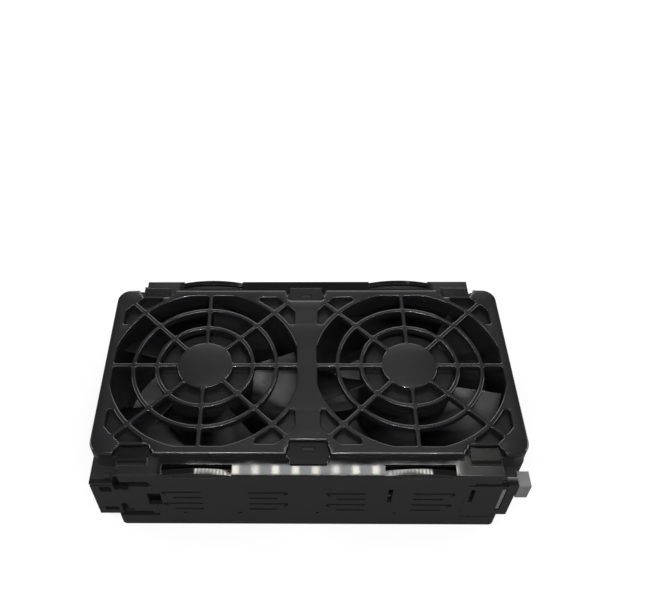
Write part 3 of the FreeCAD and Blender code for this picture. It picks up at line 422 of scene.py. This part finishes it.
def section_loops(node, height):
    """The outlines of a node where a level plane cuts it: anticlockwise, the largest first."""
    form = bmesh.new()
    form.from_mesh(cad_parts[node].data)
    bmesh.ops.remove_doubles(form, verts=form.verts, dist=WELD)
    cut = bmesh.ops.bisect_plane(form, geom=form.verts[:] + form.edges[:] + form.faces[:],
                                 plane_co=(0.0, 0.0, height), plane_no=(0.0, 0.0, 1.0))["geom_cut"]
    edges = {item for item in cut if isinstance(item, bmesh.types.BMEdge)}
    loops = []
    while edges:
        edge = edges.pop()
        first, vert = edge.verts
        loop = [first.co.xy, vert.co.xy]
        while vert != first:
            edge = next(other for other in vert.link_edges if other in edges)
            edges.remove(edge)
            vert = edge.other_vert(vert)
            loop.append(vert.co.xy)
        loop = cleaned(loop[:-1])
        if area(loop) < 0:
            loop.reverse()
        start = loop.index(min(loop, key=tuple))
        loops.append(loop[start:] + loop[:start])
    form.free()
    return sorted(loops, key=lambda loop: (-area(loop), tuple(loop[0])))


def area(loop):
    """The area inside a loop, negative where it runs clockwise."""
    return sum(a.cross(b) for a, b in zip(loop, loop[1:] + loop[:1])) / 2


def cleaned(loop):
    """The loop without points that lie on a straight run."""
    kept = []
    for index, point in enumerate(loop):
        before, after = loop[index - 1] - point, loop[(index + 1) % len(loop)] - point
        if before.length > SHORTEST and abs(before.cross(after)) > FLATTEST * before.length * after.length:
            kept.append(point.copy())
    return kept


def inset(loop, distance):
    """The loop moved sideways; a positive distance shrinks a loop that runs anticlockwise."""
    moved = []
    for index, point in enumerate(loop):
        ahead = (loop[(index + 1) % len(loop)] - point).normalized()
        back = (point - loop[index - 1]).normalized()
        side = (ahead.orthogonal() + back.orthogonal()).normalized()
        stretch = max(SHARPEST_MITRE, side.dot(ahead.orthogonal().normalized()))
        moved.append(point + side * (distance / stretch))
    return moved


def holds(ring, spot):
    """Whether a ring of vertices runs round a spot."""
    inside = False
    for first, second in zip(ring, ring[1:] + ring[:1]):
        if (first.co.y > spot.y) != (second.co.y > spot.y):
            cross = (spot.y - first.co.y) / (second.co.y - first.co.y)
            inside ^= spot.x < first.co.x + cross * (second.co.x - first.co.x)
    return inside


def fill_level(form, rings):
    """Fills the first ring with triangles and leaves the other rings open."""
    verts = [vert for ring in rings for vert in ring]
    edges = []
    for ring in rings:
        start = len(edges)
        edges += [(start + spot, start + (spot + 1) % len(ring)) for spot in range(len(ring))]
    result = delaunay_2d_cdt([vert.co.xy for vert in verts], edges, [], 1, CROSSING)
    height = verts[0].co.z
    corners = [verts[origins[0]] if origins else form.verts.new((place.x, place.y, height))
               for place, origins in zip(result[0], result[3])]
    reach = [(min(vert.co.x for vert in ring), max(vert.co.x for vert in ring),
              min(vert.co.y for vert in ring), max(vert.co.y for vert in ring)) for ring in rings]
    for triangle in result[2]:
        spot = sum((result[0][corner] for corner in triangle), Vector((0.0, 0.0))) / 3
        near = [ring for ring, (left, right, low, high) in zip(rings, reach)
                if left < spot.x < right and low < spot.y < high]
        if sum(holds(ring, spot) for ring in near) == 1:
            form.faces.new([corners[corner] for corner in triangle])


def rounded_plate(form, loops, low, high, rim, rib):
    """A plate between two heights whose upper edges are round: the first loop is its outline, the rest openings."""
    tops, bottoms = [], []
    for index, loop in enumerate(loops):
        if index:
            loop = loop[::-1]
        radius = rib if index else rim
        levels = [(0.0, low)]
        for step in range(ROUND_STEPS + 1):
            turn = math.pi / 2 * step / ROUND_STEPS
            levels.append((radius * (1 - math.cos(turn)), high - radius * (1 - math.sin(turn))))
        rings = [[form.verts.new((point.x, point.y, height)) for point in inset(loop, distance)]
                 for distance, height in levels]
        for below, above in zip(rings, rings[1:]):
            for spot in range(len(loop)):
                after = (spot + 1) % len(loop)
                form.faces.new((below[spot], below[after], above[after], above[spot])).smooth = True
        tops.append(rings[-1])
        bottoms.append(rings[0])
    for rings in (tops, bottoms):
        fill_level(form, rings)


def box(form, x_span, y_span, z_span):
    """Adds a block to a form."""
    corners = [form.verts.new((x, y, z)) for z in z_span for x, y in
               ((x_span[0], y_span[0]), (x_span[1], y_span[0]), (x_span[1], y_span[1]), (x_span[0], y_span[1]))]
    for picks in ((3, 2, 1, 0), (4, 5, 6, 7), (0, 1, 5, 4), (1, 2, 6, 5), (2, 3, 7, 6), (3, 0, 4, 7)):
        form.faces.new([corners[pick] for pick in picks])


def new_piece(name, form, material):
    """Makes an object of a form and frees the form."""
    mesh = bpy.data.meshes.new(name)
    bmesh.ops.recalc_face_normals(form, faces=form.faces)
    form.to_mesh(mesh)
    form.free()
    mesh.set_sharp_from_angle(angle=SHARP_ANGLE)
    piece = bpy.data.objects.new(name, mesh)
    bpy.context.scene.collection.objects.link(piece)
    dress(piece, material)
    return piece


def stands_for(piece, node, body):
    """Puts a piece in the place of a node of the frame."""
    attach(piece, body)
    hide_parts(node)


class FANMODULE_OT_cover(bpy.types.Operator):
    """Finishes the finger guard with its ribs and hook recesses"""
    bl_idname = "fan_module.cover"
    bl_label = "Finger guard"

    def execute(self, context):
        sizes, colours = context.scene.fan_module_sizes, context.scene.fan_module_colours
        form = bmesh.new()
        outlines = section_loops("grille_cover", GUARD_SECTION)
        rounded_plate(form, outlines, GUARD_BOTTOM, GUARD_TOP, sizes.rim_edge, sizes.rib_edge)
        for side in (-1, 1):
            for place, half, start in RECESSES:
                x_span = (place - half - RECESS_LIP, place + half + RECESS_LIP)
                y_span = sorted((side * (start - RECESS_LIP), side * RECESS_END))
                box(form, x_span, y_span, (GUARD_BOTTOM, GUARD_BOTTOM + RECESS_FLOOR))
            y_span = sorted(side * edge for edge in CATCH_SPAN)
            box(form, (-CATCH_HALF, CATCH_HALF), y_span, (GUARD_BOTTOM, GUARD_BOTTOM + CATCH_HEIGHT))
        guard = new_piece("finger_guard", form, cover_finish(colours))
        stands_for(guard, "grille_cover", "module")
        return {"FINISHED"}


class FANMODULE_OT_housing(bpy.types.Operator):
    """Finishes the housing and the four latch arms"""
    bl_idname = "fan_module.housing"
    bl_label = "Housing and latch arms"

    def execute(self, context):
        finish = housing_finish(context.scene.fan_module_colours)
        for node in ("housing",) + ARMS:
            carry(node, finish)
        return {"FINISHED"}


class FANMODULE_OT_fans(bpy.types.Operator):
    """Finishes the impellers, the fan frames and the soft rings"""
    bl_idname = "fan_module.fans"
    bl_label = "Fans"

    def execute(self, context):
        colours = context.scene.fan_module_colours
        frame_black, blade_black = fan_finish(colours), blade_finish(colours)
        soft = rubber_finish("soft_black_ring", (0.02, 0.02, 0.02), 0.7)
        cable = rubber_finish("black_cable", (0.018, 0.018, 0.018), 0.5)
        for side in SIDES:
            carry("impeller_" + side, blade_black)
            carry("fan_frame_" + side, frame_black)
            for node in ("isolation_ring_top_", "isolation_ring_bottom_"):
                carry(node + side, soft)
            carry("fan_lead_" + side, cable)
        return {"FINISHED"}


class FANMODULE_OT_motors(bpy.types.Operator):
    """Finishes the motor pieces inside the hubs"""
    bl_idname = "fan_module.motors"
    bl_label = "Motors"

    def execute(self, context):
        colours = context.scene.fan_module_colours
        turned = metal_finish("turned_steel", (0.56, 0.56, 0.55), 0.28, (300.0, 300.0, 9000.0))
        drawn = metal_finish("drawn_steel", (0.5, 0.5, 0.49), 0.34, (2500.0, 2500.0, 400.0))
        sheets = metal_finish("stacked_sheet", (0.34, 0.34, 0.33), 0.42, (200.0, 200.0, 16000.0))
        bonded = rubber_finish("bonded_magnet", (0.06, 0.06, 0.065), 0.55)
        winding, board, tube = wire_finish(), board_finish(), fan_finish(colours)
        finishes = {"rotor_yoke": drawn, "magnet_ring": bonded, "shaft": turned, "bearing_top": turned,
                    "bearing_bottom": turned, "bearing_tube": tube, "stator_core": sheets, "stator_coils": winding,
                    "motor_board": board, "preload_washer": drawn, "shaft_clip": drawn}
        for side in SIDES:
            for node, material in finishes.items():
                carry(f"{node}_{side}", material)
        return {"FINISHED"}


class FANMODULE_OT_plug(bpy.types.Operator):
    """Finishes the plug and its contacts"""
    bl_idname = "fan_module.plug"
    bl_label = "Plug"

    def execute(self, context):
        carry("connector_housing", plug_finish(context.scene.fan_module_colours))
        carry("connector_contacts", metal_finish("plated_contact", (0.75, 0.58, 0.28), 0.25, (900.0, 900.0, 900.0)))
        return {"FINISHED"}


def floor_finish():
    """Pale floor: white to the camera except for a soft shadow."""
    material = bpy.data.materials.new("white_floor")
    material.use_nodes = True
    nodes = Nodes(material.node_tree)
    nodes.tree.nodes.clear()
    place = nodes.add("ShaderNodeTexCoord", output="Object")
    folded = nodes.add("ShaderNodeVectorMath", {"operation": "ABSOLUTE"}, {0: place})
    apart = nodes.add("ShaderNodeVectorMath", {"operation": "DISTANCE"}, {0: folded, 1: DUCT_PLACE}, output="Value")
    camera = nodes.add("ShaderNodeLightPath", output="Is Camera Ray")
    shown = camera * apart.ramp(*NEAR_SPAN, start=NEAR_LEVEL) * (apart > DUCT_RADIUS)
    pale = nodes.add("ShaderNodeBsdfDiffuse", {}, {"Color": (FLOOR_GREY, FLOOR_GREY, FLOOR_GREY, 1.0)})
    glow = nodes.add("ShaderNodeEmission", {}, {"Strength": 1.0})
    bright = nodes.add("ShaderNodeAddShader", {}, {0: pale, 1: glow})
    surface = nodes.add("ShaderNodeMixShader", {}, {0: shown, 1: pale, 2: bright})
    nodes.node("ShaderNodeOutputMaterial", {}, {"Surface": surface})
    return material


def white_world():
    """A dim even room that the camera sees as white."""
    world = bpy.data.worlds.new("white_room")
    bpy.context.scene.world = world
    world.use_nodes = True
    nodes = Nodes(world.node_tree)
    nodes.tree.nodes.clear()
    room, white = (nodes.add("ShaderNodeBackground", {}, {"Color": WHITE + (1.0,), "Strength": level})
                   for level in (ROOM_LEVEL, 1.0))
    camera = nodes.add("ShaderNodeLightPath", output="Is Camera Ray")
    surface = nodes.add("ShaderNodeMixShader", {}, {0: camera, 1: room, 2: white})
    nodes.node("ShaderNodeOutputWorld", {}, {"Surface": surface})


def lamp(name, place, target, width, height, power, colour=WHITE):
    """A soft rectangular lamp that the camera doesn't see."""
    light = bpy.data.lights.new(name, "AREA")
    light.shape = "RECTANGLE"
    light.size, light.size_y = width, height
    light.energy = power
    light.color = colour
    holder = bpy.data.objects.new(name, light)
    holder.location = place
    way = Vector(target) - Vector(place)
    holder.rotation_euler = way.to_track_quat("-Z", "Y").to_euler()
    holder.visible_camera = False
    bpy.context.scene.collection.objects.link(holder)


def lamp_row(name, count, pitch, middle, size, power, colour=WHITE):
    """Small bright lamps side by side that shine on the front ledge."""
    for step in range(count):
        x = middle[0] + (step - (count - 1) / 2) * pitch
        lamp(f"{name}_{step}", (x,) + middle[1:], (x,) + LEDGE_TARGET, *size, power, colour)


def rear_strip(sizes):
    """Small warm lamps on a dim cold strip, as in a photo box."""
    place, height, power = REAR_BAR
    span = sizes.lamp_pitch * sizes.lamp_count
    lamp("rear_strip_bar", place, place[:1] + LEDGE_TARGET, span, height, power, COLD)
    lamp_row("rear_strip", sizes.lamp_count, sizes.lamp_pitch, *REAR_LAMPS)


def camera_view():
    """The camera at the place and angle of the photograph."""
    ahead = Vector((math.sin(YAW) * math.cos(PITCH), math.cos(YAW) * math.cos(PITCH), -math.sin(PITCH)))
    level = Vector((math.cos(YAW), -math.sin(YAW), 0.0))
    above = level.cross(ahead)
    right = level * math.cos(ROLL) + above * math.sin(ROLL)
    up = above * math.cos(ROLL) - level * math.sin(ROLL)
    turn = Matrix((right, up, -ahead)).transposed()
    view = bpy.data.cameras.new("camera")
    view.lens = LENS
    view.sensor_width = SENSOR_WIDTH
    view.shift_x = SHIFT_X
    view.clip_start = CLIP_START
    holder = bpy.data.objects.new("camera", view)
    holder.matrix_world = Matrix.Translation(CAMERA_PLACE) @ turn.to_4x4()
    bpy.context.scene.collection.objects.link(holder)
    return holder


class FANMODULE_OT_stage(bpy.types.Operator):
    """Sets up the floor, the room, the lamps and the camera"""
    bl_idname = "fan_module.stage"
    bl_label = "Stage"

    def execute(self, context):
        scene = context.scene
        scene.view_settings.view_transform = "Standard"
        mesh = bpy.data.meshes.new("floor")
        mesh.from_pydata([(-FLOOR_HALF, -FLOOR_HALF, 0), (FLOOR_HALF, -FLOOR_HALF, 0), (FLOOR_HALF, FLOOR_HALF, 0),
                          (-FLOOR_HALF, FLOOR_HALF, 0)], [], [(0, 1, 2, 3)])
        floor = bpy.data.objects.new("floor", mesh)
        floor.location.z = CAD_BOX[0][2] - FLOOR_GAP
        scene.collection.objects.link(floor)
        dress(floor, floor_finish())
        white_world()
        for name, place, width, height, power in PANELS:
            lamp(name, place, PANEL_TARGET, width, height, power)
        lamp_row("front_strip", *FRONT_STRIP)
        rear_strip(scene.fan_module_sizes)
        scene.camera = camera_view()
        return {"FINISHED"}


class FANMODULE_PT_panel(bpy.types.Panel):
    """Sizes, colours and steps of the fan module's looks"""
    bl_idname = "FANMODULE_PT_panel"
    bl_label = "Fan module"
    bl_space_type = "VIEW_3D"
    bl_region_type = "UI"
    bl_category = "Fan module"

    def draw(self, context):
        for group in (context.scene.fan_module_sizes, context.scene.fan_module_colours):
            for name in group.bl_rna.properties.keys():
                if name not in ("rna_type", "name"):
                    self.layout.prop(group, name)
        for step in STEPS:
            self.layout.operator(step.bl_idname)


STEPS = (FANMODULE_OT_stage, FANMODULE_OT_cover, FANMODULE_OT_housing, FANMODULE_OT_fans, FANMODULE_OT_motors,
         FANMODULE_OT_plug)
CLASSES = (FanModuleSizes, FanModuleColours) + STEPS + (FANMODULE_PT_panel,)


def register():
    for kind in CLASSES:
        bpy.utils.register_class(kind)
    bpy.types.Scene.fan_module_sizes = PointerProperty(type=FanModuleSizes)
    bpy.types.Scene.fan_module_colours = PointerProperty(type=FanModuleColours)


def unregister():
    del bpy.types.Scene.fan_module_colours
    del bpy.types.Scene.fan_module_sizes
    for kind in reversed(CLASSES):
        bpy.utils.unregister_class(kind)


def main():
    register()
    bpy.ops.fan_module.stage()
    bpy.ops.fan_module.cover()
    bpy.ops.fan_module.housing()
    bpy.ops.fan_module.fans()
    bpy.ops.fan_module.motors()
    bpy.ops.fan_module.plug()


if __name__ == "__main__":
    main()
